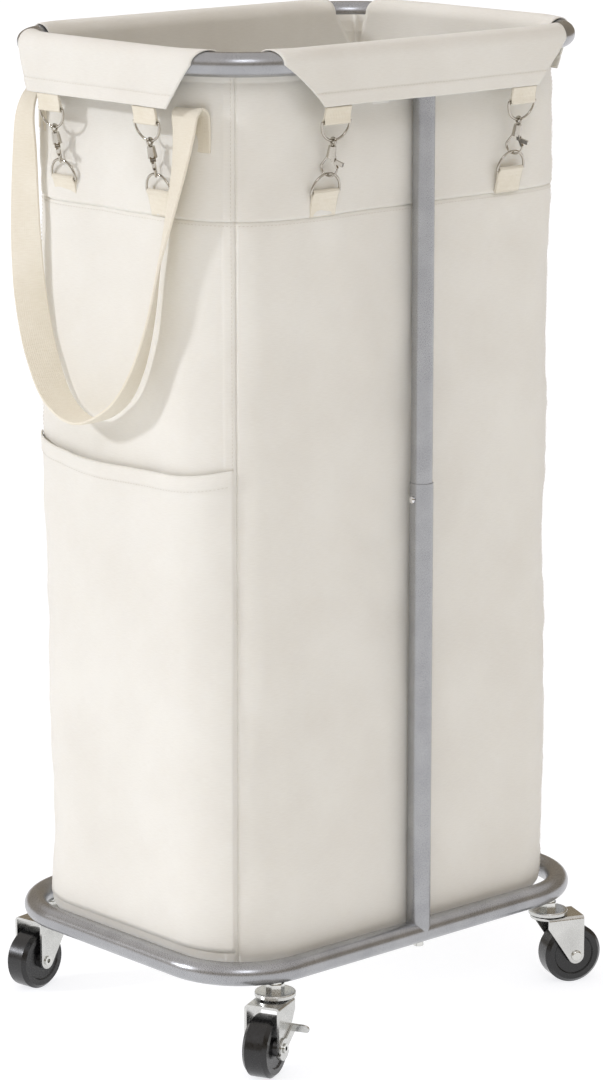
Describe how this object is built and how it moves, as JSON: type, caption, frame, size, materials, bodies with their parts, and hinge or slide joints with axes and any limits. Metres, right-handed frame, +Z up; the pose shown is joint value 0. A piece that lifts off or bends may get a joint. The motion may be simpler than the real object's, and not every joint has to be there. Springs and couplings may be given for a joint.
{
  "type": "laundry sorter on wheels",
  "caption": "Tall fabric laundry bag hung by clipped flaps in a two-ring tube frame with side posts, standing on swivel casters.",
  "frame": {"origin": "on the floor under the middle of the frame", "axes": "+Z up, Y along the long sides, the pocket on the -Y end"},
  "size_m": [0.3402, 0.4242, 0.8072],
  "materials": {
    "frame_tube": "satin silver powder coat",
    "zinc_plate": "bright zinc plated pressed steel",
    "zinc_fastener": "bright zinc plated",
    "wheel": "black, moulded, slightly glossy",
    "bag_fabric": "off-white cotton canvas",
    "webbing": "off-white woven cotton tape",
    "board": "stiff grey-brown board",
    "nickel": "nickel plated",
    "spring_steel": "plain hardened steel",
    "chrome": "chrome plated",
    "plug_plastic": "black nylon"
  },
  "bodies": {
    "frame_and_bag": {"bag_back": "bag_fabric", "bag_floor": "bag_fabric", "bag_front": "bag_fabric", "bag_left": "bag_fabric", "bag_right": "bag_fabric", "base_board": "board", "base_ring": "frame_tube", "caster_races": "zinc_plate", "caster_stems": "zinc_fastener", "crossbars": "frame_tube", "flap_back": "bag_fabric", "flap_front": "bag_fabric", "flap_left": "bag_fabric", "flap_right": "bag_fabric", "handle": "webbing", "hook_bodies": "nickel", "hook_swivels": "nickel", "lower_post_left": "frame_tube", "lower_post_right": "frame_tube", "lower_rings": "nickel", "lower_tabs": "webbing", "pocket": "bag_fabric", "post_plugs": "plug_plastic", "post_screws": "zinc_fastener", "rim_ring": "frame_tube", "snap_spring_left": "spring_steel", "snap_spring_right": "spring_steel", "stem_inserts": "zinc_fastener", "swivel_balls": "spring_steel", "upper_post_left": "frame_tube", "upper_post_right": "frame_tube", "upper_rings": "nickel", "upper_tabs": "webbing"},
    "caster_front_right": {"fork_front_right": "zinc_plate", "axle_front_right": "zinc_fastener"},
    "wheel_front_right": {"wheel_front_right": "wheel"},
    "brake_lever_front_right": {"brake_lever_front_right": "zinc_plate"},
    "caster_rear_right": {"fork_rear_right": "zinc_plate", "axle_rear_right": "zinc_fastener"},
    "wheel_rear_right": {"wheel_rear_right": "wheel"},
    "caster_front_left": {"fork_front_left": "zinc_plate", "axle_front_left": "zinc_fastener"},
    "wheel_front_left": {"wheel_front_left": "wheel"},
    "caster_rear_left": {"fork_rear_left": "zinc_plate", "axle_rear_left": "zinc_fastener"},
    "wheel_rear_left": {"wheel_rear_left": "wheel"},
    "brake_lever_rear_left": {"brake_lever_rear_left": "zinc_plate"},
    "snap_button_left": {"snap_button_left": "chrome"},
    "snap_button_right": {"snap_button_right": "chrome"},
    "hook_lever_right_1": {"hook_lever_right_1": "nickel"},
    "hook_lever_right_2": {"hook_lever_right_2": "nickel"},
    "hook_lever_back_1": {"hook_lever_back_1": "nickel"},
    "hook_lever_back_2": {"hook_lever_back_2": "nickel"},
    "hook_lever_left_1": {"hook_lever_left_1": "nickel"},
    "hook_lever_left_2": {"hook_lever_left_2": "nickel"},
    "hook_lever_front_1": {"hook_lever_front_1": "nickel"},
    "hook_lever_front_2": {"hook_lever_front_2": "nickel"}
  },
  "joints": [
    {"name": "front_right_swivel", "type": "hinge", "parent": "frame_and_bag", "child": "caster_front_right", "pos_m": [0.14255, -0.154, 0.0595], "axis": [0, 0, 1], "continuous": true},
    {"name": "front_right_wheel_spin", "type": "hinge", "parent": "caster_front_right", "child": "wheel_front_right", "pos_m": [0.15101, -0.17213, 0.025], "axis": [0.9063, 0.4226, 0], "continuous": true},
    {"name": "front_right_brake_press", "type": "hinge", "parent": "caster_front_right", "child": "brake_lever_front_right", "pos_m": [0.1646, -0.16579, 0.025], "axis": [-0.9063, -0.4226, 0], "range_deg": [0, 35]},
    {"name": "rear_right_swivel", "type": "hinge", "parent": "frame_and_bag", "child": "caster_rear_right", "pos_m": [0.14255, 0.154, 0.0595], "axis": [0, 0, 1], "continuous": true},
    {"name": "rear_right_wheel_spin", "type": "hinge", "parent": "caster_rear_right", "child": "wheel_rear_right", "pos_m": [0.15005, 0.17254, 0.025], "axis": [-0.9272, 0.3746, 0], "continuous": true},
    {"name": "front_left_swivel", "type": "hinge", "parent": "frame_and_bag", "child": "caster_front_left", "pos_m": [-0.14255, -0.154, 0.0595], "axis": [0, 0, 1], "continuous": true},
    {"name": "front_left_wheel_spin", "type": "hinge", "parent": "caster_front_left", "child": "wheel_front_left", "pos_m": [-0.13942, -0.17375, 0.025], "axis": [0.9877, 0.1564, 0], "continuous": true},
    {"name": "rear_left_swivel", "type": "hinge", "parent": "frame_and_bag", "child": "caster_rear_left", "pos_m": [-0.14255, 0.154, 0.0595], "axis": [0, 0, 1], "continuous": true},
    {"name": "rear_left_wheel_spin", "type": "hinge", "parent": "caster_rear_left", "child": "wheel_rear_left", "pos_m": [-0.15101, 0.17213, 0.025], "axis": [-0.9063, -0.4226, 0], "continuous": true},
    {"name": "rear_left_brake_press", "type": "hinge", "parent": "caster_rear_left", "child": "brake_lever_rear_left", "pos_m": [-0.1646, 0.16579, 0.025], "axis": [0.9063, 0.4226, 0], "range_deg": [0, 35]},
    {"name": "left_snap_button_press", "type": "slide", "parent": "frame_and_bag", "child": "snap_button_left", "axis": [0, 1, 0], "range_m": [0, 0.0034], "stiffness_N_per_m": 800, "springref_m": -0.002, "deforming": ["snap_spring_left"]},
    {"name": "right_snap_button_press", "type": "slide", "parent": "frame_and_bag", "child": "snap_button_right", "axis": [0, 1, 0], "range_m": [0, 0.0034], "stiffness_N_per_m": 800, "springref_m": -0.002, "deforming": ["snap_spring_right"]},
    {"name": "hook_right_1_open", "type": "hinge", "parent": "frame_and_bag", "child": "hook_lever_right_1", "pos_m": [0.14945, -0.09901, 0.71994], "axis": [-0.3337, 0.9397, 0.0749], "range_deg": [0, 26], "stiffness_Nm_per_rad": 0.01, "springref_deg": -17.19},
    {"name": "hook_right_2_open", "type": "hinge", "parent": "frame_and_bag", "child": "hook_lever_right_2", "pos_m": [0.14945, 0.10099, 0.71994], "axis": [-0.3337, 0.9397, 0.0749], "range_deg": [0, 26], "stiffness_Nm_per_rad": 0.01, "springref_deg": -17.19},
    {"name": "hook_back_1_open", "type": "hinge", "parent": "frame_and_bag", "child": "hook_lever_back_1", "pos_m": [0.05584, 0.20369, 0.72011], "axis": [-0.6691, -0.7251, 0.1627], "range_deg": [0, 26], "stiffness_Nm_per_rad": 0.01, "springref_deg": -17.19},
    {"name": "hook_back_2_open", "type": "hinge", "parent": "frame_and_bag", "child": "hook_lever_back_2", "pos_m": [-0.06016, 0.20369, 0.72011], "axis": [-0.6691, -0.7251, 0.1627], "range_deg": [0, 26], "stiffness_Nm_per_rad": 0.01, "springref_deg": -17.19},
    {"name": "hook_left_1_open", "type": "hinge", "parent": "frame_and_bag", "child": "hook_lever_left_1", "pos_m": [-0.14945, 0.09901, 0.71994], "axis": [0.3337, -0.9397, 0.0749], "range_deg": [0, 26], "stiffness_Nm_per_rad": 0.01, "springref_deg": -17.19},
    {"name": "hook_left_2_open", "type": "hinge", "parent": "frame_and_bag", "child": "hook_lever_left_2", "pos_m": [-0.14945, -0.10099, 0.71994], "axis": [0.3337, -0.9397, 0.0749], "range_deg": [0, 26], "stiffness_Nm_per_rad": 0.01, "springref_deg": -17.19},
    {"name": "hook_front_1_open", "type": "hinge", "parent": "frame_and_bag", "child": "hook_lever_front_1", "pos_m": [-0.05584, -0.20369, 0.72011], "axis": [0.6691, 0.7251, 0.1627], "range_deg": [0, 26], "stiffness_Nm_per_rad": 0.01, "springref_deg": -17.19},
    {"name": "hook_front_2_open", "type": "hinge", "parent": "frame_and_bag", "child": "hook_lever_front_2", "pos_m": [0.06016, -0.20369, 0.72011], "axis": [0.6691, 0.7251, 0.1627], "range_deg": [0, 26], "stiffness_Nm_per_rad": 0.01, "springref_deg": -17.19}
  ]
}
